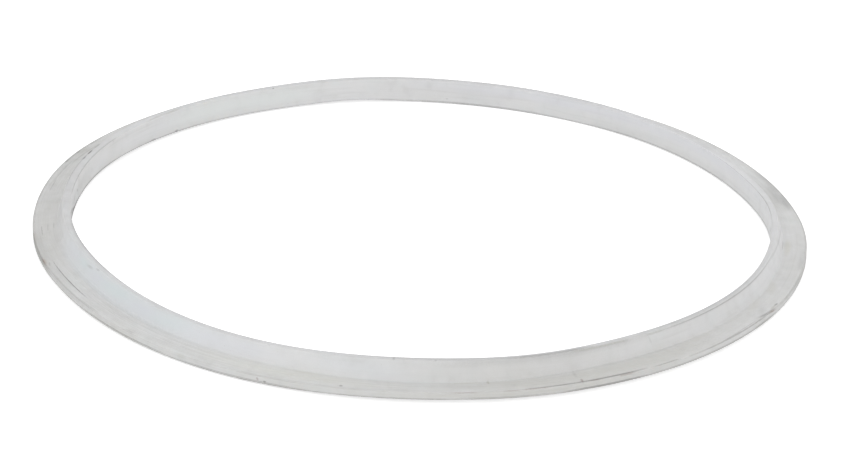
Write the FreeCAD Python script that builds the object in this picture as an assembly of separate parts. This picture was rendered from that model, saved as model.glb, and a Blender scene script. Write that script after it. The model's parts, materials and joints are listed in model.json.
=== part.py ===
import FreeCAD, Part
import math
import os

# Silicone gasket ring, moulded in one piece: a flat flange with a lip that stands up round the bore.
# Sizes are millimetres. The origin is the middle of the underside, and +Z points up.

# Overall sizes: the bore, the ring's width from bore to rim, and its height from underside to crest
bore_diameter = 400.0
ring_width = 21.0
overall_height = 14.5

# Lip round the bore: its flat crest, and its foot on the flange
crest_width = 3.6
lip_foot_width = 7.1

# Flange thickness beside the lip and at the rim
foot_thickness = 5.2
rim_thickness = 4.5

# Fine V-shaped sealing ribs on the flange top, and the plain band kept at each side of them
rib_pitch = 2.8
rib_width = 1.1
rib_height = 0.25
plain_band = 2.4

# Roundings of the moulded edges that the fingers feel, and the slight bevel on the other edges
crest_rounding = 0.8
foot_fillet = 1.4
rim_rounding = 0.5
edge_bevel = 0.3

# Radii that follow from the sizes
bore_radius = bore_diameter / 2
outer_radius = bore_radius + ring_width
crest_radius = bore_radius + crest_width
foot_radius = bore_radius + lip_foot_width


def section_point(radius, height):
    """Point of the section, which lies in the plane of X and Z."""
    return FreeCAD.Vector(radius, 0, height)


def flange_height(radius):
    """Height of the flange top, which falls gently from the lip to the rim."""
    fall = (foot_thickness - rim_thickness) / (outer_radius - foot_radius)
    return rim_thickness + fall * (outer_radius - radius)


def rib_radii():
    """Radii of the ribs, outermost first, centred between the lip and the rim."""
    room = outer_radius - foot_radius - 2 * plain_band
    gaps = math.floor(room / rib_pitch)
    outermost = (outer_radius + foot_radius + gaps * rib_pitch) / 2
    return [outermost - step * rib_pitch for step in range(gaps + 1)]


def straight(start, end):
    """Straight side of the section."""
    return Part.LineSegment(start, end).toShape()


def flange_top(start, end):
    """Sloping flange top from the rim to the lip, with its ribs."""
    edges = []
    place = start
    for radius in rib_radii():
        outer_foot = radius + rib_width / 2
        inner_foot = radius - rib_width / 2
        rib_start = section_point(outer_foot, flange_height(outer_foot))
        crown = section_point(radius, flange_height(radius) + rib_height)
        rib_end = section_point(inner_foot, flange_height(inner_foot))
        edges.append(straight(place, rib_start))
        edges.append(straight(rib_start, crown))
        edges.append(straight(crown, rib_end))
        place = rib_end
    edges.append(straight(place, end))
    return edges


def directions(before, corner, after):
    """Directions from a corner along its two sides."""
    return (before - corner).normalize(), (after - corner).normalize()


def rounded(before, corner, after, radius):
    """Corner rounded by an arc tangent to both sides: its start, edge and end."""
    towards_before, towards_after = directions(before, corner, after)
    half_angle = towards_before.getAngle(towards_after) / 2
    setback = radius / math.tan(half_angle)
    inwards = (towards_before + towards_after).normalize()
    start = corner + towards_before * setback
    middle = corner + inwards * (radius / math.sin(half_angle) - radius)
    end = corner + towards_after * setback
    return start, Part.Arc(start, middle, end).toShape(), end


def bevelled(before, corner, after, leg):
    """Corner cut by a small flat, equally far along both sides: its start, edge and end."""
    towards_before, towards_after = directions(before, corner, after)
    start = corner + towards_before * leg
    end = corner + towards_after * leg
    return start, straight(start, end), end


def moulded_section():
    """Closed outline of the section: its finished corners, joined by their sides."""
    rim_top = section_point(outer_radius, rim_thickness)
    corners = [
        (section_point(bore_radius, 0), bevelled, edge_bevel),
        (section_point(outer_radius, 0), bevelled, edge_bevel),
        (rim_top, rounded, rim_rounding),
        (section_point(foot_radius, foot_thickness), rounded, foot_fillet),
        (section_point(crest_radius, overall_height), rounded, crest_rounding),
        (section_point(bore_radius, overall_height), bevelled, edge_bevel),
    ]
    count = len(corners)
    points = [corner for corner, finish, size in corners]
    finished = []
    for index, (corner, finish, size) in enumerate(corners):
        finished.append(finish(points[index - 1], corner, points[(index + 1) % count], size))
    edges = []
    for index, (start, corner_edge, end) in enumerate(finished):
        next_start = finished[(index + 1) % count][0]
        edges.append(corner_edge)
        if points[index] is rim_top:
            edges.extend(flange_top(end, next_start))
        else:
            edges.append(straight(end, next_start))
    return Part.Wire(edges)


def gasket_ring():
    """The section turned once round the bore's axis."""
    section = Part.Face(moulded_section())
    return section.revolve(FreeCAD.Vector(0, 0, 0), FreeCAD.Vector(0, 0, 1), 360)


os.makedirs("parts", exist_ok=True)
gasket_ring().exportStep("parts/gasket_ring.step")
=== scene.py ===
import bpy
import functools
import json
import math
from mathutils import Matrix, Vector


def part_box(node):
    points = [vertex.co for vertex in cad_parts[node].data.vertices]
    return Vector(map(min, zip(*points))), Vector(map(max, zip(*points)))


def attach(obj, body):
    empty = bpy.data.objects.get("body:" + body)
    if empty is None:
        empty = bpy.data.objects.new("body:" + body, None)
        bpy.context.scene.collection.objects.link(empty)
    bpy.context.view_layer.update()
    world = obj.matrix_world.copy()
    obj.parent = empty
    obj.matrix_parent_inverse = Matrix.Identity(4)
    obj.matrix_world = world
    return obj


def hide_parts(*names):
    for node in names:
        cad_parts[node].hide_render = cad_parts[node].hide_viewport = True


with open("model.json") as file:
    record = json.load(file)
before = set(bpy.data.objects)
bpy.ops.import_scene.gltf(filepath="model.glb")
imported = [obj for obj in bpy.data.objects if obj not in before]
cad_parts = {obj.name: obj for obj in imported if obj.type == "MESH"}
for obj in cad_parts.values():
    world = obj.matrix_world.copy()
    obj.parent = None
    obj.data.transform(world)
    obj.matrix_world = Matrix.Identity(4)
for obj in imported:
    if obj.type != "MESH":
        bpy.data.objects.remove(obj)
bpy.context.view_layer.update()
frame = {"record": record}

MM = 0.001

# Sizes that the frame gives: the bore, the rim and the height
mounts = {mount["name"]: mount for mount in frame["record"]["mounts"]}
bore_radius = mounts["bore"]["dims"]["r_mm"] * MM
outer_radius = mounts["outer_rim"]["dims"]["r_mm"] * MM
overall_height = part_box("gasket_ring")[1].z

# The rest of the moulded section, as in the solid
crest_width = 3.6 * MM
lip_foot_width = 7.1 * MM
foot_thickness = 5.2 * MM
rim_thickness = 4.5 * MM
rib_pitch = 2.8 * MM
rib_width = 1.1 * MM
rib_height = 0.25 * MM
rib_count = 4
crest_rounding = 0.8 * MM
foot_fillet = 1.4 * MM
rim_rounding = 0.5 * MM
edge_rounding = 0.3 * MM
crest_radius = bore_radius + crest_width
foot_radius = bore_radius + lip_foot_width
middle_radius = (bore_radius + outer_radius) / 2

# Fineness of the ring's mesh: steps round it, and how far from each arc and rib a side has its own point
steps_round = 1080
side_guard = 0.35 * MM
rib_guard = 0.2 * MM

# Points across each rib, as shares of its width from its middle, and the power that rounds it
rib_points = (0.5, 0.18, -0.18, -0.5)
rib_roundness = 1.3

# How the soft ring lies: azimuth in degrees from +X towards +Y, amount, and spread in degrees
lifts_mm = ((205, 1.34, 13.6), (243, -1.0, 18.8), (303, 2.45, 43), (76, -1.72, 20.8), (162, 1.59, 18),
            (288, -1.01, 12.5), (1.5, 0.76, 9.7), (353, 0.42, 13.6))
twists_deg = ((6.3, -3.44, 9.6), (33, 5.34, 35), (75.4, -1.88, 9.9), (118.6, 4.24, 14), (348, 2.25, 10),
              (250, -1.31, 51), (307, -5.91, 15.7), (181, -1.31, 33))
spreads_mm = ((358, 0.86, 27), (94, 0.45, 38))
pinches_mm = ((103, 0.9, 6),)

# Small unevenness of the moulding: crest width, flange beside the lip, rim off centre, and worn ribs
crest_swells_mm = ((172, 1.34, 15.4), (312, -0.99, 40), (70, 0.38, 21))
foot_falls_mm = ((271, 1.99, 20.5), (233, -0.37, 26), (314, 1.1, 24))
rim_drift_mm = (-0.7, 0.1)
rib_wear = ((352, 0.85, 38), (178, 0.7, 25))
foot_follows_crest = 0.5
foot_follows_fall = 0.3

# Zones of the section, between its corners
RIM = ("rim_bottom", "rim_top")
FLANGE = ("rim_top", "foot")
FACE = ("foot", "crest_outer")
CREST = ("crest_outer", "crest_inner")
WALL = ("crest_inner", "bore_bottom")


def linear(red, green, blue):
    """Shader colour from a colour as it is seen, each part from 0 to 255."""
    return tuple((part / 255) ** 2.2 for part in (red, green, blue)) + (1.0,)


# Colours of the silicone by zone, with painted light and shade in them (the bore wall painted lighter and
# the crest darker, as the light falls on each), and of its clouding and grime; the darkest grime colour also
# paints shade along the edges
rim_colour = linear(212, 212, 210)
flange_colour = linear(210, 210, 209)
face_colour = linear(213, 213, 213)
crest_colour = linear(206, 206, 207)
wall_colour = linear(222, 222, 222)
cool_colour = linear(206, 207, 209)
warm_colour = linear(206, 206, 203)
teal_colour = linear(205, 213, 213)
lilac_colour = linear(211, 209, 215)
bloom_colour = linear(224, 224, 225)
grime_colour = linear(180, 179, 176)
dark_grime_and_shade_colour = linear(111, 109, 104)

# Colours of the single marks
SOOT = linear(40, 38, 34)
DARK = linear(88, 86, 81)
DULL = linear(150, 149, 147)
BROWN = linear(134, 98, 62)
RUST = linear(104, 58, 50)
OLIVE = linear(128, 124, 96)
KHAKI = linear(199, 197, 185)
WARM = linear(197, 196, 191)
CREAM = linear(222, 222, 212)
BLUE = linear(214, 219, 222)
TEAL = linear(208, 218, 218)
LILAC = linear(213, 214, 220)
SMOKE = linear(96, 96, 97)
LAVENDER = linear(219, 220, 226)
MINT = linear(223, 227, 225)
PALE = linear(230, 231, 233)

# Dark bands along the edges, partly grime and partly painted shade: painted contact shadow along the two
# bottom edges and painted darkening at the rounded upper edges; the corner, half its width in mm, and how
# strong it is
edge_grime_and_shade = (
    ("rim_bottom", 0.9, 0.5),
    ("rim_top", 0.6, 0.15),
    ("crest_outer", 0.6, 0.08),
    ("crest_inner", 0.6, 0.08),
    ("bore_bottom", 1.0, 0.32),
)

# Tones and marks: azimuth, zone, share across it, length and width in mm, lean, colour, strength, crispness
tones = (
    (218, FACE, 0.5, 170, 13, 0, BLUE, 0.8, 0.0),
    # Painted light: the lip's face paler where the light falls strongest at the front left
    (243, FACE, 0.5, 110, 13, 0, PALE, 0.4, 0.0),
    (199, FACE, 0.45, 26, 10, 10, LILAC, 0.3, 0.2),
    (205, FACE, 0.6, 12, 6, 12, TEAL, 0.4, 0.2),
    (210, FACE, 0.45, 20, 8, 12, LILAC, 0.4, 0.2),
    (216, FACE, 0.6, 30, 8, 10, TEAL, 0.45, 0.2),
    (223, FACE, 0.5, 20, 9, 10, LILAC, 0.4, 0.2),
    (230, FACE, 0.6, 30, 9, 10, TEAL, 0.3, 0.2),
    (262, FACE, 0.5, 50, 10, 0, BLUE, 0.3, 0.0),
    (291, FACE, 0.88, 110, 4, 0, DULL, 0.22, 0.0),
    (209, FLANGE, 0.93, 100, 4, 0, BLUE, 0.25, 0.0),
    (240, FACE, 0.5, 60, 10, 0, LILAC, 0.3, 0.0),
    # Painted light: the lip's face paler at the right end
    (347, FACE, 0.5, 120, 12, 0, PALE, 0.3, 0.0),
    (285, FACE, 0.5, 110, 12, 0, WARM, 0.3, 0.0),
    (179, FACE, 0.5, 70, 10, 0, DULL, 0.16, 0.0),
    (236, FLANGE, 0.6, 110, 14, 0, PALE, 0.12, 0.0),
    # Painted shade: the flange darker at the left end
    (186, FLANGE, 0.5, 90, 18, 0, WARM, 0.35, 0.0),
    (197, FLANGE, 0.15, 80, 8, 0, DULL, 0.22, 0.0),
    # Painted shade: the flange darker at the front right
    (297, FLANGE, 0.5, 150, 17, 0, WARM, 0.6, 0.0),
    (252, FLANGE, 0.6, 110, 13, 0, CREAM, 0.3, 0.0),
    (254, FLANGE, 0.9, 14, 3, 0, KHAKI, 0.25, 0.1),
    (277.5, FLANGE, 0.96, 14, 2, 0, KHAKI, 0.3, 0.1),
    (195, FLANGE, 0.45, 44, 13, 0, DULL, 0.12, 0.0),
    (346, FLANGE, 0.3, 70, 9, 0, DULL, 0.06, 0.0),
    (286, RIM, 0.6, 130, 4, 0, WARM, 0.4, 0.0),
    (1, FLANGE, 0.8, 60, 8, 0, PALE, 0.2, 0.0),
    (285, CREST, 0.5, 130, 6, 0, DULL, 0.1, 0.0),
    (274, CREST, 0.6, 80, 3, 0, DULL, 0.15, 0.0),
    (318, CREST, 0.45, 90, 5, 0, DULL, 0.1, 0.0),
    (336, CREST, 0.5, 60, 5, 0, DULL, 0.13, 0.0),
    (234, CREST, 0.5, 80, 5, 0, DULL, 0.06, 0.0),
    (9, CREST, 0.5, 130, 6, 0, PALE, 0.2, 0.0),
    (24, CREST, 0.5, 60, 9, 0, PALE, 0.22, 0.0),
    (150, CREST, 0.5, 50, 6, 0, PALE, 0.2, 0.0),
    # Painted shade: the crest darker at the back
    (84, CREST, 0.4, 170, 6, 0, DULL, 0.1, 0.0),
    (178, CREST, 0.5, 60, 6, 0, DULL, 0.06, 0.0),
    (50, WALL, 0.2, 300, 8, 0, LAVENDER, 0.5, 0.0),
    (28, WALL, 0.55, 190, 15, 0, PALE, 0.38, 0.0),
    (19, WALL, 0.8, 50, 8, 0, PALE, 0.25, 0.0),
    (130, WALL, 0.65, 180, 13, 0, PALE, 0.32, 0.0),
    (136, WALL, 0.85, 170, 6, 0, KHAKI, 0.1, 0.0),
    (35, WALL, 0.8, 200, 7, 0, KHAKI, 0.08, 0.0),
    (86, WALL, 0.45, 90, 11, 0, DULL, 0.07, 0.0),
    # Painted light: the bottom of the bore paler here, which offsets the dark edge band and the shadow where
    # the ring is pinched up
    (105, WALL, 0.97, 44, 2.4, 0, PALE, 0.35, 0.0),
    (125, WALL, 0.45, 110, 12, 0, MINT, 0.6, 0.0),
    (174, WALL, 0.6, 70, 12, 0, DULL, 0.1, 0.0),
    (170, FLANGE, 0.35, 110, 13, 0, DULL, 0.12, 0.0),
    (158, FLANGE, 0.32, 54, 6, 0, DULL, 0.16, 0.0),
    (157, FLANGE, 0.24, 12, 3.6, 0, OLIVE, 0.14, 0.1),
    (31, FLANGE, 0.42, 60, 8, 0, PALE, 0.4, 0.0),
    (332.5, FLANGE, 0.84, 22, 6, 12, KHAKI, 0.22, 0.2),
    (340, FLANGE, 0.82, 20, 6, 14, KHAKI, 0.22, 0.2),
    (317, FLANGE, 0.9, 26, 5, 0, KHAKI, 0.16, 0.1),
    (355.5, FLANGE, 0.84, 22, 4.4, 0, KHAKI, 0.4, 0.4),
    (349, RIM, 0.6, 50, 5, 0, DARK, 0.2, 0.2),
    (193, RIM, 0.6, 66, 3.6, 0, DARK, 0.42, 0.0),
    (209, RIM, 0.8, 44, 3, 0, DARK, 0.08, 0.0),
    (239, RIM, 0.55, 90, 5, 0, PALE, 0.16, 0.0),
    (319, RIM, 0.6, 60, 4, 0, PALE, 0.18, 0.0),
    (341, RIM, 0.82, 44, 2.0, 0, DARK, 0.22, 0.0),
    (15.5, FLANGE, 0.32, 32, 11, 0, SMOKE, 0.18, 0.0),
    (16.5, FLANGE, 0.42, 26, 5, -4, DULL, 0.16, 0.1),
    (13.6, FLANGE, 0.16, 20, 6, -8, SMOKE, 0.26, 0.2),
    (21, FLANGE, 0.1, 34, 5, 0, DULL, 0.3, 0.0),
    (8, FLANGE, 0.5, 34, 12, 0, MINT, 0.15, 0.0),
)
marks = (
    # Left end: short ticks, grime at the rim, a brown speck, long thin scratches, and flecks
    (186.2, FLANGE, 0.86, 8, 0.5, -2, DULL, 0.42, 0.3),
    (186.8, FLANGE, 0.61, 10, 0.5, -2, DARK, 0.24, 0.3),
    (187.7, FLANGE, 0.36, 13, 0.6, 0, DARK, 0.3, 0.3),
    (194, RIM, 0.93, 48, 1.6, 0, DARK, 0.36, 0.2),
    (198.9, FLANGE, 0.0, 9, 3.0, 4, BROWN, 0.36, 0.1),
    (189.3, FLANGE, 0.05, 14, 3, 0, BROWN, 0.12, 0.0),
    (198.5, RIM, 0.9, 8, 1.6, 4, SOOT, 0.16, 0.1),
    (200.2, FLANGE, 0.13, 5, 1.0, -10, DARK, 0.22, 0.3),
    (206.4, FLANGE, 0.325, 48, 0.6, -0.2, SOOT, 0.5, 0.4),
    (209, FLANGE, 0.01, 60, 1.2, 0, DARK, 0.2, 0.1),
    (208.5, FLANGE, 0.325, 24, 0.5, -0.2, SOOT, 0.2, 0.4),
    (204.7, FLANGE, 0.62, 3, 0.8, 25, PALE, 0.35, 0.4),
    (207.6, FLANGE, 0.63, 4, 0.8, 20, PALE, 0.35, 0.4),
    (210.4, FLANGE, 0.62, 4, 1.0, 20, PALE, 0.35, 0.4),
    (207.2, FACE, 0.68, 8, 1.8, 8, DULL, 0.28, 0.1),
    (209.8, FACE, 0.9, 4.5, 1.2, 10, DARK, 0.22, 0.2),
    # Front left: thin lines and flecks on the rim and at the flange's edge
    (223, RIM, 0.27, 66, 0.7, 0, DARK, 0.42, 0.3),
    (244, RIM, 0.25, 70, 0.6, 0, DULL, 0.45, 0.3),
    (215.5, FLANGE, 0.06, 18, 0.9, 0, DARK, 0.16, 0.3),
    (225.2, FLANGE, 0.06, 7, 1.2, 0, DARK, 0.16, 0.2),
    (256, FLANGE, 0.03, 100, 2.0, 0, DULL, 0.16, 0.1),
    (235.2, RIM, 0.7, 6, 3, 0, OLIVE, 0.12, 0.2),
    (247.7, RIM, 0.55, 1.2, 2.2, 20, RUST, 0.3, 0.4),
    (248.8, RIM, 0.35, 1.6, 1.2, 0, SOOT, 0.45, 0.4),
    # Front: small ticks and dots, a dark band on the crest, and dark lines low on the rim
    (266.7, CREST, 0.4, 1.6, 3.0, 0, SOOT, 0.3, 0.2),
    (273, CREST, 0.05, 1.4, 1.2, 0, DARK, 0.25, 0.3),
    (259.7, FLANGE, 0.165, 1.8, 2.6, 0, DARK, 0.4, 0.2),
    (280.8, FLANGE, 0.92, 1.6, 3.4, 0, OLIVE, 0.34, 0.2),
    (284.3, FLANGE, 0.49, 3.4, 3, 0, DULL, 0.15, 0.1),
    (290.5, CREST, 0.22, 50, 2.4, 0, DARK, 0.34, 0.1),
    (283, RIM, 0.22, 50, 0.7, 0, DARK, 0.2, 0.3),
    (298, RIM, 0.2, 44, 1.1, 0, SOOT, 0.42, 0.3),
    (317, RIM, 0.22, 92, 0.8, 0, DARK, 0.24, 0.3),
    # Front right: dark lines along the flange's edge with rusty parts, and the lines along the lip
    (295.5, FLANGE, 0.085, 60, 2.2, 0, DARK, 0.28, 0.0),
    (298.5, FLANGE, 0.09, 38, 0.9, 0, SOOT, 0.42, 0.3),
    (289.5, FLANGE, 0.08, 32, 0.8, 0, SOOT, 0.36, 0.3),
    (287, FLANGE, 0.03, 14, 0.8, 0, RUST, 0.32, 0.3),
    (296, FLANGE, 0.06, 6, 1.4, 0, RUST, 0.25, 0.2),
    (301, FLANGE, 0.03, 9, 1.6, 0, RUST, 0.26, 0.1),
    (276.9, FLANGE, 0.0, 13, 1.1, 0, RUST, 0.2, 0.1),
    (283.6, FLANGE, 0.02, 8, 1.1, 0, RUST, 0.2, 0.1),
    (280, FLANGE, 0.01, 54, 1.0, 0, DARK, 0.08, 0.0),
    (294.1, FLANGE, 0.19, 1.5, 4.2, -10, RUST, 0.42, 0.4),
    (293.9, FLANGE, 0.76, 2.2, 8, -8, DULL, 0.26, 0.0),
    (308, FLANGE, 0.05, 18, 1.0, 0, DARK, 0.4, 0.1),
    (324, FLANGE, 0.0, 84, 1.1, 0, DARK, 0.32, 0.1),
    (321.5, FLANGE, 0.045, 15, 0.9, 0, DARK, 0.25, 0.1),
    (297, FACE, 0.9, 60, 1.6, 0, DARK, 0.06, 0.1),
    (326, FACE, 0.9, 130, 1.5, 0, DARK, 0.1, 0.0),
    (329, FACE, 0.92, 130, 0.6, 0.1, DARK, 0.34, 0.2),
    (322, CREST, 0.5, 110, 0.6, 0.2, DARK, 0.2, 0.1),
    (299, FACE, 0.93, 34, 1.0, 0, OLIVE, 0.2, 0.1),
    (309, FACE, 0.9, 12, 1.2, 0, OLIVE, 0.18, 0.1),
    (307.9, FACE, 0.62, 1.2, 4.4, 20, DULL, 0.16, 0.2),
    (300, FLANGE, 1.0, 116, 1.1, 0, DULL, 0.18, 0.0),
    # Right end: dirt at the flange's edge, a smudge on the flange, and lines on the rim and the lip's face
    (330.5, FLANGE, 0.075, 9, 2.0, -8, SOOT, 0.4, 0.1),
    (332.3, FLANGE, 0.02, 9, 2.4, -8, DARK, 0.3, 0.1),
    (332.8, RIM, 0.86, 7, 1.6, -8, BROWN, 0.3, 0.1),
    (331.4, FLANGE, 0.3, 10, 4.5, 20, DULL, 0.22, 0.0),
    (333.2, RIM, 0.78, 8, 1.0, -4, RUST, 0.16, 0.1),
    (333.6, FLANGE, 0.08, 6, 2.0, 0, OLIVE, 0.3, 0.1),
    (334.8, FLANGE, 0.09, 4, 1.3, 0, SOOT, 0.42, 0.1),
    (330.5, RIM, 0.28, 24, 0.9, 0, DARK, 0.34, 0.2),
    (351.5, FLANGE, 0.12, 26, 4.5, 0, SMOKE, 0.14, 0.0),
    (325.5, FLANGE, 0.09, 22, 0.8, 0, DULL, 0.4, 0.2),
    (355.6, FACE, 0.13, 11, 1.6, 0, DARK, 0.3, 0.1),
    (353, FACE, 0.7, 60, 1.5, -3.9, DARK, 0.16, 0.1),
    # Back and left end: lines low in the bore and along the crest, and specks and streaks
    (30, WALL, 0.95, 220, 1.4, 0, DARK, 0.16, 0.1),
    (78, WALL, 0.95, 90, 1.2, 0, DARK, 0.22, 0.1),
    (138, WALL, 0.94, 3, 1.5, 10, SOOT, 0.38, 0.4),
    (143.8, WALL, 0.95, 5, 1.2, 0, SOOT, 0.3, 0.3),
    (178, WALL, 0.93, 36, 2.2, 0, SOOT, 0.5, 0.2),
    (180, WALL, 0.88, 24, 3.4, 0, SOOT, 0.25, 0.0),
    (137, WALL, 0.97, 150, 1.0, 0, DARK, 0.14, 0.1),
    (180, WALL, 0.7, 30, 2.5, -16, DARK, 0.36, 0.1),
    (1.2, WALL, 0.5, 16, 3, 40, DULL, 0.2, 0.0),
    (166, WALL, 0.96, 80, 1.6, 0, DARK, 0.32, 0.1),
    (168, WALL, 0.01, 96, 0.8, 0, DARK, 0.34, 0.3),
    (12, WALL, 0.01, 120, 0.8, 0, DARK, 0.17, 0.2),
    (5, WALL, 0.01, 60, 0.9, 0, DARK, 0.2, 0.2),
    # Painted shadow: a dark line along the crest's outer edge, where the lip stands in front of the flange
    (167.5, CREST, 0.04, 66, 0.9, 0, DARK, 0.3, 0.2),
    (159.8, CREST, 0.06, 8, 1.1, 0, DARK, 0.36, 0.2),
    (152.5, FLANGE, 0.12, 22, 1.1, 0, DARK, 0.24, 0.1),
    (157.5, FLANGE, 0.42, 34, 1.1, -1, DARK, 0.2, 0.1),
    (165.5, FLANGE, 0.3, 30, 1.0, 0, DARK, 0.2, 0.1),
    (171, FLANGE, 0.36, 15, 0.8, 0, DARK, 0.26, 0.1),
    (158.5, FLANGE, 0.08, 28, 2.6, 0, DARK, 0.2, 0.0),
    (157.5, FLANGE, 0.1, 5, 1.4, 0, SOOT, 0.3, 0.2),
    (161.4, FLANGE, 0.1, 5, 1.3, 0, SOOT, 0.24, 0.2),
    (153.2, FLANGE, 0.12, 4, 1.3, 0, SOOT, 0.2, 0.2),
    (162.7, CREST, 0.1, 6.5, 1.1, 0, SOOT, 0.6, 0.3),
    (165.2, CREST, 0.1, 5.5, 1.1, 0, SOOT, 0.42, 0.3),
    (117.7, CREST, 0.9, 1.6, 1.2, 30, SOOT, 0.45, 0.4),
    (138.5, CREST, 0.8, 16, 1.8, 4, OLIVE, 0.2, 0.1),
    (142.8, CREST, 0.85, 18, 1.6, 3, OLIVE, 0.2, 0.1),
    (86.3, WALL, 0.8, 1.6, 0.7, 0, DARK, 0.3, 0.3),
    (173.5, WALL, 0.52, 5, 2, -20, DULL, 0.4, 0.2),
    (177, WALL, 0.6, 11, 1.8, 10, DULL, 0.35, 0.2),
    # Long soft dark bands along the edges of the flange and the crest: grime, and painted shade at the
    # crest's outer edge along the back
    (165, FLANGE, 0.03, 200, 2.0, 0, DARK, 0.24, 0.0),
    (8, FLANGE, 0.03, 110, 1.8, 0, DARK, 0.26, 0.0),
    (31, FLANGE, 0.03, 80, 3.6, 0, DARK, 0.12, 0.0),
    (203, CREST, 0.92, 100, 1.8, 0, DARK, 0.32, 0.0),
    # Painted shade: a dark line along the crest's outer edge at the back, where the ring's top edge is seen
    # against the white
    (102, CREST, 0.03, 300, 1.4, 0, DULL, 0.26, 0.0),
    (271, CREST, 0.9, 100, 2.0, 0, DARK, 0.14, 0.0),
)

# Fineness of the patterns, in repeats for each metre
grain_scale = 1500
speck_scale = 900
mottle_scale = 130
tint_scale = 75
patch_scale = 60
cloud_scale = 28
line_run_scale = 25
fine_line_scale = 1500
broad_line_scale = 420
streak_scale = 420
streak_across_scale = 60

# Layers of a pattern: its value where a layer begins and where it is full, the amount, and the colour
cloud_layers = ((0.45, 0.75, 0.3, cool_colour), (0.5, 0.25, 0.3, warm_colour))
mottle_layers = ((0.5, 0.8, 0.22, grime_colour), (0.5, 0.25, 0.25, bloom_colour))
broad_line_layers = ((0.52, 0.75, 0.14, grime_colour),)
streak_layers = ((0.6, 0.8, 0.05, grime_colour),)
tint_layers = ((0.52, 0.72, 0.12, teal_colour), (0.48, 0.28, 0.12, lilac_colour))
speck_layers = ((0.76, 0.8, 0.35, grime_colour),)

# Ramps, each with its two ends and the value at either
fine_line_ramp = (0.5, 0.75, 0, 0.24)
on_flange_ramp = (0, 1, 0.25, 1)
right_end_ramp = (0.12, 0.19, 1, 0.35)
patchy_ramp = (0.35, 0.65, 0.5, 1.0)
roughness_ramp = (0.3, 0.7, 0.42, 0.58)

# Shape of the marks: azimuths of the two unrolled halves, how ragged an edge is, and how long a long mark is
front_middle = 270
back_middle = 90
raggedness = 1.2
long_mark_ratio = 5

# Silicone rubber: its translucency and its fine relief
silicone_ior = 1.41
translucency = 0.35
translucency_by_colour = (1.0, 0.97, 0.92)
translucency_reach = 1.5 * MM
relief_strength = 0.35
relief_depth = 0.06 * MM
line_relief = 0.7
grain_relief = 0.5

# Studio, in metres and watts: a white floor, soft lamps with their places and powers, and a white dome
floor_half = 15
floor_grey = (0.8, 0.8, 0.8, 1)
floor_glow = 0.62
lamp_size = 2.0
lamps = (("key", (-1.2, -3.2, 1.6), 14), ("fill", (2.2, -2.4, 1.5), 7))
dome_white = (1, 1, 1, 1)
horizon_strength = 1.12
zenith_strength = 0.8
seen_strength = 1.0

# Camera at the photograph's angle, in pixels, metres, degrees, and millimetres of the sensor
image_width = 853
camera_distance = 2.652
camera_elevation = 23.892
camera_tilt = -0.0286
camera_pan = -0.0751
camera_roll = -2.212
focal_pixels = 4621.8
sensor_width = 36.0
view_depth = 100


@functools.lru_cache(maxsize=8192)
def swell(azimuth, bumps):
    """Sum of smooth bumps round the ring, each an azimuth, an amount and a spread."""
    total = 0.0
    for centre, amount, spread in bumps:
        away = (azimuth - centre + 180) % 360 - 180
        total += amount * math.exp(-(away / spread) ** 2)
    return total


def flange_height(radius):
    """Height of the flange top, which falls gently from the lip to the rim."""
    fall = (foot_thickness - rim_thickness) / (outer_radius - foot_radius)
    return rim_thickness + fall * (outer_radius - radius)


def rounded(before, corner, after, radius, steps):
    """Points of the arc that rounds one corner of the section."""
    towards_before = (before - corner).normalized()
    towards_after = (after - corner).normalized()
    half_angle = towards_before.angle(towards_after) / 2
    setback = radius / math.tan(half_angle)
    centre = corner + (towards_before + towards_after).normalized() * (radius / math.sin(half_angle))
    start = corner + towards_before * setback - centre
    end = corner + towards_after * setback - centre
    whole = start.angle(end)
    points = []
    for step in range(steps + 1):
        part = step / steps
        direction = start * math.sin((1 - part) * whole) + end * math.sin(part * whole)
        points.append(centre + direction / math.sin(whole))
    return points


def side(start, end, steps, guard=side_guard):
    """Points between two ends of a straight side, with one close to each end to keep the edge crisp."""
    along = (end - start).normalized()
    inner_start = start + along * guard
    inner_end = end - along * guard
    return [inner_start.lerp(inner_end, step / steps) for step in range(steps + 1)]


def ribbed_side(start, end):
    """Points of the flange top from the rim to the lip, with its low ribs."""
    points = []
    place = start
    outermost = (outer_radius + foot_radius + (rib_count - 1) * rib_pitch) / 2
    for index in range(rib_count):
        radius = outermost - index * rib_pitch
        foot = Vector((radius + rib_width / 2, flange_height(radius + rib_width / 2)))
        points += side(place, foot, 1, rib_guard)
        for part in rib_points:
            across = radius + part * rib_width
            rise = rib_height * (1 - (2 * abs(part)) ** rib_roundness)
            points.append(Vector((across, flange_height(across) + rise)))
        place = points[-1]
    points += side(place, end, 1, rib_guard)
    return points


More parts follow.
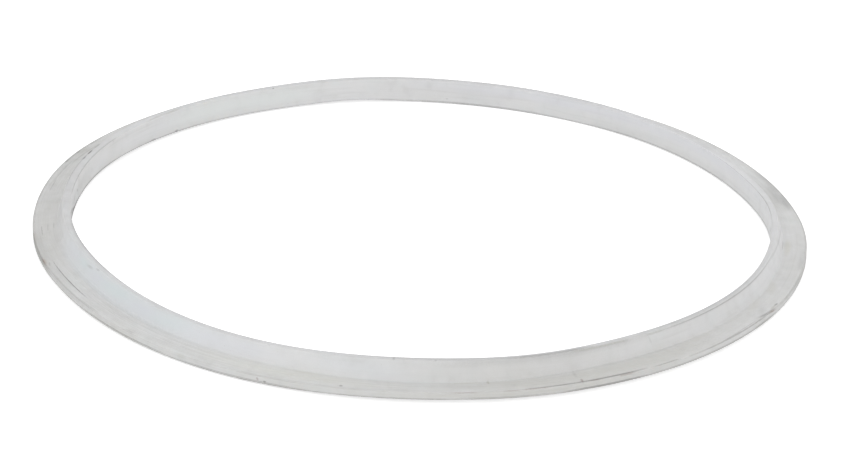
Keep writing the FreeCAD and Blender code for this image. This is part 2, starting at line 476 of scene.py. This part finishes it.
def section_outline():
    """Points of the section from the middle of the underside, out to the rim and back over the lip."""
    # Each corner with its rounding and the steps round it
    corners = (
        (Vector((outer_radius, 0)), edge_rounding, 3),
        (Vector((outer_radius, rim_thickness)), rim_rounding, 3),
        (Vector((foot_radius, foot_thickness)), foot_fillet, 5),
        (Vector((crest_radius, overall_height)), crest_rounding, 5),
        (Vector((bore_radius, overall_height)), edge_rounding, 3),
        (Vector((bore_radius, 0)), edge_rounding, 3),
    )
    arcs = []
    for index, (corner, radius, steps) in enumerate(corners):
        before = corners[index - 1][0]
        after = corners[(index + 1) % len(corners)][0]
        arcs.append(rounded(before, corner, after, radius, steps))
    rim_bottom, rim_top, foot, crest_outer, crest_inner, bore_bottom = arcs
    middle = Vector((middle_radius, 0))
    points = [middle] + side(middle, rim_bottom[0], 1)[1:]
    points += rim_bottom + side(rim_bottom[-1], rim_top[0], 3)
    points += rim_top + ribbed_side(rim_top[-1], foot[0])
    points += foot + side(foot[-1], crest_outer[0], 5)
    points += crest_outer + side(crest_outer[-1], crest_inner[0], 3)
    points += crest_inner + side(crest_inner[-1], bore_bottom[0], 6)
    points += bore_bottom + side(bore_bottom[-1], middle, 1)[:1]
    return points


def share(value, start, end):
    """How far a value lies between two others, from 0 to 1."""
    return min(max((value - start) / (end - start), 0.0), 1.0)


def moulded(azimuth, radius, height):
    """A point of the section with the small unevenness of the moulding there."""
    swell_out = swell(azimuth, crest_swells_mm) * MM
    fall = swell(azimuth, foot_falls_mm) * MM
    turn = math.radians(azimuth)
    drift = (rim_drift_mm[0] * math.cos(turn) + rim_drift_mm[1] * math.sin(turn)) * MM
    up_lip = share(height, foot_thickness, overall_height)
    foot_shift = foot_follows_crest * swell_out + foot_follows_fall * fall
    face_radius = foot_radius + (crest_radius - foot_radius) * up_lip
    across_lip = share(radius, bore_radius, face_radius)
    across_flange = share(radius, foot_radius, outer_radius)
    up_flange = share(height, 0, foot_thickness)
    at_foot = across_lip * (1 - across_flange) * up_flange
    if radius > foot_radius:
        height -= max(height - flange_height(radius), 0) * min(swell(azimuth, rib_wear), 1)
    shift = foot_shift + (swell_out - foot_shift) * up_lip
    return radius + shift * at_foot + drift * across_flange, height - fall * at_foot * (1 - up_lip)


def laid(azimuth, radius, height):
    """Where a point of the section lies once the soft ring has settled, before it meets the floor."""
    radius, height = moulded(azimuth, radius, height)
    pinch = swell(azimuth, pinches_mm) * MM
    near_bore = 1 - share(radius, bore_radius, outer_radius)
    height += pinch * (1 - share(height, 0, overall_height)) * near_bore
    twist = math.radians(swell(azimuth, twists_deg))
    lift = swell(azimuth, lifts_mm) * MM
    across = radius - middle_radius
    laid_radius = middle_radius + across * math.cos(twist) - height * math.sin(twist)
    laid_radius += swell(azimuth, spreads_mm) * MM
    laid_height = across * math.sin(twist) + height * math.cos(twist) + lift
    turn = math.radians(azimuth)
    return Vector((laid_radius * math.cos(turn), laid_radius * math.sin(turn), laid_height))


def lowest_lie():
    """Lowest height that the settled underside would reach, which is where the floor holds it."""
    edges = (bore_radius, outer_radius)
    return min(laid(azimuth, radius, 0).z for azimuth in range(360) for radius in edges)


floor_offset = -lowest_lie()


def on_ring(azimuth, radius, height):
    """Point of the settled ring, above the floor."""
    return laid(azimuth, radius, height) + Vector((0, 0, floor_offset))


def make_ring(outline, places):
    """The whole gasket as one closed mesh, with its place along the section kept for the material."""
    count = len(outline)
    vertices = []
    for step in range(steps_round):
        azimuth = 360 * step / steps_round
        for point in outline:
            vertices.append(on_ring(azimuth, point.x, point.y))
    faces = []
    for step in range(steps_round):
        here = step * count
        there = (step + 1) % steps_round * count
        for index in range(count):
            after = (index + 1) % count
            faces.append((here + index, there + index, there + after, here + after))
    mesh = bpy.data.meshes.new("gasket_body")
    mesh.from_pydata(vertices, [], faces)
    place = mesh.attributes.new("section_place", "FLOAT", "POINT")
    place.data.foreach_set("value", places * steps_round)
    mesh.polygons.foreach_set("use_smooth", [True] * len(faces))
    mesh.update()
    ring = bpy.data.objects.new("gasket_body", mesh)
    bpy.context.scene.collection.objects.link(ring)
    return ring


def section_places(outline):
    """Distance of each outline point along the section from the first one."""
    places = [0.0]
    for index in range(1, len(outline)):
        places.append(places[-1] + (outline[index] - outline[index - 1]).length)
    return places


def place_near(outline, places, radius, height):
    """Place along the section of the outline point nearest to a sharp corner."""
    corner = Vector((radius, height))
    nearest = min(range(len(outline)), key=lambda index: (outline[index] - corner).length)
    return places[nearest]


class Shading:
    """The nodes of a material or world, with short ways to add and join them."""

    def __init__(self, owner):
        owner.use_nodes = True
        self.nodes = owner.node_tree.nodes
        self.links = owner.node_tree.links

    def join(self, socket, value):
        """Join an output to a socket, or set a uniform value on the socket itself."""
        if isinstance(value, bpy.types.NodeSocket):
            self.links.new(value, socket)
        else:
            socket.default_value = value

    def math(self, operation, first, second=0.0):
        """Result of an operation on one or two numbers."""
        node = self.nodes.new("ShaderNodeMath")
        node.operation = operation
        self.join(node.inputs[0], first)
        self.join(node.inputs[1], second)
        return node.outputs[0]

    def ease(self, value, start, end, low=0.0, high=1.0, way="SMOOTHSTEP"):
        """Step of a value from low at start to high at end, smooth unless another way is given."""
        node = self.nodes.new("ShaderNodeMapRange")
        node.interpolation_type = way
        names = ("Value", "From Min", "From Max", "To Min", "To Max")
        for name, part in zip(names, (value, start, end, low, high)):
            self.join(node.inputs[name], part)
        return node.outputs[0]

    def blend(self, amount, under, over):
        """One colour over another, by an amount from 0 to 1."""
        node = self.nodes.new("ShaderNodeMix")
        node.data_type = "RGBA"
        self.join(node.inputs[0], amount)
        self.join(node.inputs[6], under)
        self.join(node.inputs[7], over)
        return node.outputs[2]

    def layered(self, pattern, colour, layers):
        """A colour with layers over it where a pattern is strong or weak."""
        for begins, full, amount, over in layers:
            colour = self.blend(self.ease(pattern, begins, full, 0, amount), colour, over)
        return colour

    def vector(self, x, y, z):
        """Vector made of three numbers."""
        node = self.nodes.new("ShaderNodeCombineXYZ")
        for socket, part in zip(node.inputs, (x, y, z)):
            self.join(socket, part)
        return node.outputs[0]

    def parts(self, vector):
        """The numbers that a vector is made of, by the names X, Y and Z."""
        node = self.nodes.new("ShaderNodeSeparateXYZ")
        self.join(node.inputs[0], vector)
        return node.outputs

    def noise(self, place, scale, detail=2.0, rough=0.5):
        """Noise over a place, finer with a larger scale."""
        node = self.nodes.new("ShaderNodeTexNoise")
        self.join(node.inputs["Vector"], place)
        node.inputs["Scale"].default_value = scale
        node.inputs["Detail"].default_value = detail
        node.inputs["Roughness"].default_value = rough
        return node.outputs[0]

    def ring_noise(self, x, y, place, scale_round, scale_across, detail):
        """Noise with one fineness round the ring and another across its section."""
        scaled_x = self.math("MULTIPLY", x, scale_round)
        scaled_y = self.math("MULTIPLY", y, scale_round)
        scaled_place = self.math("MULTIPLY", place, scale_across)
        return self.noise(self.vector(scaled_x, scaled_y, scaled_place), 1, detail)

    def dot(self, vector, direction):
        """How far a vector reaches along a direction."""
        node = self.nodes.new("ShaderNodeVectorMath")
        node.operation = "DOT_PRODUCT"
        self.join(node.inputs[0], vector)
        self.join(node.inputs[1], direction)
        return node.outputs["Value"]

    def away(self, unrolled, centre, lean, half_length, half_width):
        """Distance from the middle of an oval on the unrolled ring, 1 at its edge."""
        from_centre = self.nodes.new("ShaderNodeVectorMath")
        from_centre.operation = "SUBTRACT"
        self.join(from_centre.inputs[0], unrolled)
        self.join(from_centre.inputs[1], centre)
        run = math.cos(math.radians(lean))
        rise = math.sin(math.radians(lean))
        along = self.dot(from_centre.outputs[0], (run / half_length, rise / half_length, 0))
        across = self.dot(from_centre.outputs[0], (-rise / half_width, run / half_width, 0))
        along = self.math("MULTIPLY", along, along)
        if half_length > long_mark_ratio * half_width:
            # Blunter ends, so that a long mark keeps its width
            along = self.math("MULTIPLY", along, along)
        return self.math("SQRT", self.math("ADD", along, self.math("MULTIPLY", across, across)))


def arc_from(middle, azimuth):
    """Distance along the bore from the middle of an unrolled half to an azimuth."""
    return math.radians((azimuth - middle + 180) % 360 - 180) * bore_radius


def unrolled_halves(shade, x, y, place):
    """The ring unrolled flat: distance along the bore and place across, for its front and back half."""
    from_front = shade.math("ARCTAN2", x, shade.math("MULTIPLY", y, -1.0))
    from_back = shade.math("ARCTAN2", shade.math("MULTIPLY", x, -1.0), y)
    front = shade.vector(shade.math("MULTIPLY", from_front, bore_radius), place, 0.0)
    back = shade.vector(shade.math("MULTIPLY", from_back, bore_radius), place, 0.0)
    return {front_middle: front, back_middle: back}


def zone_colours_with_painted_light(shade, place, corner):
    """Base colour of each zone of the section, with the light and shade that falls on it painted in, and a
    soft change at the corner between two.
    """
    colour = flange_colour
    # A reach below zero puts the tint before its corner, and not after it
    zones = (
        (rim_colour, corner["rim_top"], -0.5 * MM),
        (face_colour, corner["foot"], 0.9 * MM),
        (crest_colour, corner["crest_outer"], 0.4 * MM),
        (wall_colour, corner["crest_inner"], 0.3 * MM),
    )
    for tint, start, reach in zones:
        colour = shade.blend(shade.ease(place, start - reach, start + reach), colour, tint)
    return colour


def with_lines(shade, colour, x, y, place, fine_lines, corner):
    """Fine and broad lines along the ring, the fine ones strongest on the flange, and streaks across it."""
    soft = 0.5 * MM
    past_rim = shade.ease(place, corner["rim_top"], corner["rim_top"] + soft)
    before_lip = shade.ease(place, corner["foot"] + soft, corner["foot"] - soft)
    on_flange = shade.ease(shade.math("MULTIPLY", past_rim, before_lip), *on_flange_ramp)
    amount = shade.math("MULTIPLY", shade.ease(fine_lines, *fine_line_ramp), on_flange)
    amount = shade.math("MULTIPLY", amount, shade.ease(x, *right_end_ramp))
    colour = shade.blend(amount, colour, grime_colour)
    broad_lines = shade.ring_noise(x, y, place, line_run_scale, broad_line_scale, 1)
    colour = shade.layered(broad_lines, colour, broad_line_layers)
    streaks = shade.ring_noise(x, y, place, streak_scale, streak_across_scale, 2)
    return shade.layered(streaks, colour, streak_layers)


def with_edge_grime_and_shade(shade, colour, coordinates, place, corner):
    """Patchy dark band along each listed edge: grime, with painted shade at the rounded edges and painted
    contact shadow at the bottom ones.
    """
    patchy = shade.ease(shade.noise(coordinates, patch_scale), *patchy_ramp)
    for name, half_width, amount in edge_grime_and_shade:
        near = shade.math("ABSOLUTE", shade.math("SUBTRACT", place, corner[name]))
        band = shade.ease(near, half_width * MM, 0.2 * half_width * MM, 0, amount)
        colour = shade.blend(shade.math("MULTIPLY", band, patchy), colour, dark_grime_and_shade_colour)
    return colour


def with_marks(shade, colour, halves, grain, corner):
    """Every tone and mark, each an oval with a slightly ragged edge."""
    ragged = shade.math("MULTIPLY", shade.math("SUBTRACT", grain, 0.5), raggedness)
    for azimuth, zone, part, length, width, lean, tint, amount, crisp in tones + marks:
        start, end = corner[zone[0]], corner[zone[1]]
        middle = back_middle if azimuth % 360 < 180 else front_middle
        centre = (arc_from(middle, azimuth), start + (end - start) * part, 0)
        distance = shade.away(halves[middle], centre, lean, length / 2 * MM, width / 2 * MM)
        distance = shade.math("ADD", distance, ragged)
        fade = shade.ease(distance, 1.0 + 0.5 * (1 - crisp), crisp, 0, amount)
        colour = shade.blend(fade, colour, tint)
    return colour


def finish_surface(shade, colour, mottle, fine_lines, grain):
    """Satin, slightly translucent surface with the relief of its lines and grain."""
    surface = shade.nodes["Principled BSDF"]
    shade.join(surface.inputs["Base Color"], colour)
    shade.join(surface.inputs["Roughness"], shade.ease(mottle, *roughness_ramp))
    surface.inputs["IOR"].default_value = silicone_ior
    surface.inputs["Subsurface Weight"].default_value = translucency
    surface.inputs["Subsurface Radius"].default_value = translucency_by_colour
    surface.inputs["Subsurface Scale"].default_value = translucency_reach
    lines_part = shade.math("MULTIPLY", fine_lines, line_relief)
    grain_part = shade.math("MULTIPLY", grain, grain_relief)
    bump = shade.nodes.new("ShaderNodeBump")
    bump.inputs["Strength"].default_value = relief_strength
    bump.inputs["Distance"].default_value = relief_depth
    shade.join(bump.inputs["Height"], shade.math("ADD", lines_part, grain_part))
    shade.join(surface.inputs["Normal"], bump.outputs[0])


def make_silicone(corner):
    """Pale silicone: colours by zone with painted light and shade, clouding, lines round the ring, grime and
    painted shade on the edges, and single marks, some of them painted light and shade.
    """
    material = bpy.data.materials.new("silicone")
    shade = Shading(material)
    coordinates = shade.nodes.new("ShaderNodeTexCoord").outputs["Object"]
    parts = shade.parts(coordinates)
    x, y = parts["X"], parts["Y"]
    attribute = shade.nodes.new("ShaderNodeAttribute")
    attribute.attribute_name = "section_place"
    place = attribute.outputs["Fac"]
    grain = shade.noise(coordinates, grain_scale, 3, 0.6)
    mottle = shade.noise(coordinates, mottle_scale)
    fine_lines = shade.ring_noise(x, y, place, line_run_scale, fine_line_scale, 2)

    colour = zone_colours_with_painted_light(shade, place, corner)
    colour = shade.layered(shade.noise(coordinates, cloud_scale), colour, cloud_layers)
    colour = shade.layered(mottle, colour, mottle_layers)
    colour = with_lines(shade, colour, x, y, place, fine_lines, corner)
    colour = with_edge_grime_and_shade(shade, colour, coordinates, place, corner)
    colour = shade.layered(shade.noise(coordinates, tint_scale, 1), colour, tint_layers)
    colour = with_marks(shade, colour, unrolled_halves(shade, x, y, place), grain, corner)
    colour = shade.layered(shade.noise(coordinates, speck_scale, 1), colour, speck_layers)
    finish_surface(shade, colour, mottle, fine_lines, grain)
    return material


def make_camera():
    """Camera on a sphere round the ring, on the -Y side, turned a little as the photograph's is."""
    elevation = math.radians(camera_elevation)
    offset = Vector((0, -math.cos(elevation), math.sin(elevation))) * camera_distance
    forward = -offset.normalized()
    right = Vector((1, 0, 0))
    up = right.cross(forward)
    pan = Matrix.Rotation(math.radians(camera_pan), 3, up)
    forward, right = pan @ forward, pan @ right
    tilt = Matrix.Rotation(math.radians(camera_tilt), 3, right)
    forward, up = tilt @ forward, tilt @ up
    roll = Matrix.Rotation(math.radians(camera_roll), 3, forward)
    right, up = roll @ right, roll @ up
    data = bpy.data.cameras.new("camera")
    data.sensor_fit = "HORIZONTAL"
    data.sensor_width = sensor_width
    data.lens = focal_pixels * sensor_width / image_width
    data.clip_end = view_depth
    camera = bpy.data.objects.new("camera", data)
    turn = Matrix((right, up, -forward)).transposed().to_4x4()
    camera.matrix_world = Matrix.Translation(offset + Vector((0, 0, floor_offset))) @ turn
    bpy.context.scene.collection.objects.link(camera)
    bpy.context.scene.camera = camera


def make_floor_white():
    """White that shows a soft shadow, and glows a little where it is seen directly."""
    material = bpy.data.materials.new("floor_white")
    shade = Shading(material)
    shade.nodes.clear()
    diffuse = shade.nodes.new("ShaderNodeBsdfDiffuse")
    diffuse.inputs["Color"].default_value = floor_grey
    glow = shade.nodes.new("ShaderNodeEmission")
    glow.inputs["Strength"].default_value = floor_glow
    both = shade.nodes.new("ShaderNodeAddShader")
    shade.join(both.inputs[0], diffuse.outputs[0])
    shade.join(both.inputs[1], glow.outputs[0])
    path = shade.nodes.new("ShaderNodeLightPath")
    choose = shade.nodes.new("ShaderNodeMixShader")
    shade.join(choose.inputs[0], path.outputs["Is Camera Ray"])
    shade.join(choose.inputs[1], diffuse.outputs[0])
    shade.join(choose.inputs[2], both.outputs[0])
    output = shade.nodes.new("ShaderNodeOutputMaterial")
    shade.join(output.inputs["Surface"], choose.outputs[0])
    return material


def make_floor():
    """Wide flat floor under the ring."""
    low, high = -floor_half, floor_half
    corners = [(low, low, 0), (high, low, 0), (high, high, 0), (low, high, 0)]
    mesh = bpy.data.meshes.new("floor")
    mesh.from_pydata(corners, [], [(0, 1, 2, 3)])
    mesh.materials.append(make_floor_white())
    floor = bpy.data.objects.new("floor", mesh)
    bpy.context.scene.collection.objects.link(floor)


def make_lamp(name, place, power):
    """Square soft lamp that faces the middle of the ring."""
    data = bpy.data.lights.new(name, "AREA")
    data.shape = "SQUARE"
    data.size = lamp_size
    data.energy = power
    lamp = bpy.data.objects.new(name, data)
    lamp.location = place
    lamp.rotation_euler = (-Vector(place)).to_track_quat("-Z", "Y").to_euler()
    bpy.context.scene.collection.objects.link(lamp)


def make_world():
    """White dome, plain where it is seen or reflected, and stronger as light near the horizon."""
    world = bpy.data.worlds.new("studio")
    shade = Shading(world)
    background = shade.nodes["Background"]
    background.inputs["Color"].default_value = dome_white
    path = shade.nodes.new("ShaderNodeLightPath")
    seen = shade.math("MAXIMUM", path.outputs["Is Camera Ray"], path.outputs["Is Glossy Ray"])
    seen = shade.math("MAXIMUM", seen, path.outputs["Is Transmission Ray"])
    direction = shade.nodes.new("ShaderNodeTexCoord").outputs["Generated"]
    height = shade.parts(direction)["Z"]
    dome = shade.ease(height, 0, 1, horizon_strength, zenith_strength, "LINEAR")
    shade.join(background.inputs["Strength"], shade.ease(seen, 0, 1, dome, seen_strength, "LINEAR"))
    bpy.context.scene.world = world


outline = section_outline()
places = section_places(outline)
corner = {
    "rim_bottom": place_near(outline, places, outer_radius, 0),
    "rim_top": place_near(outline, places, outer_radius, rim_thickness),
    "foot": place_near(outline, places, foot_radius, foot_thickness),
    "crest_outer": place_near(outline, places, crest_radius, overall_height),
    "crest_inner": place_near(outline, places, bore_radius, overall_height),
    "bore_bottom": place_near(outline, places, bore_radius, 0),
}
ring = make_ring(outline, places)
ring.data.materials.append(make_silicone(corner))
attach(ring, "root")
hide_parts("gasket_ring")

make_floor()
make_camera()
make_world()
for lamp_name, lamp_place, lamp_power in lamps:
    make_lamp(lamp_name, lamp_place, lamp_power)

bpy.context.scene.view_settings.view_transform = "Standard"
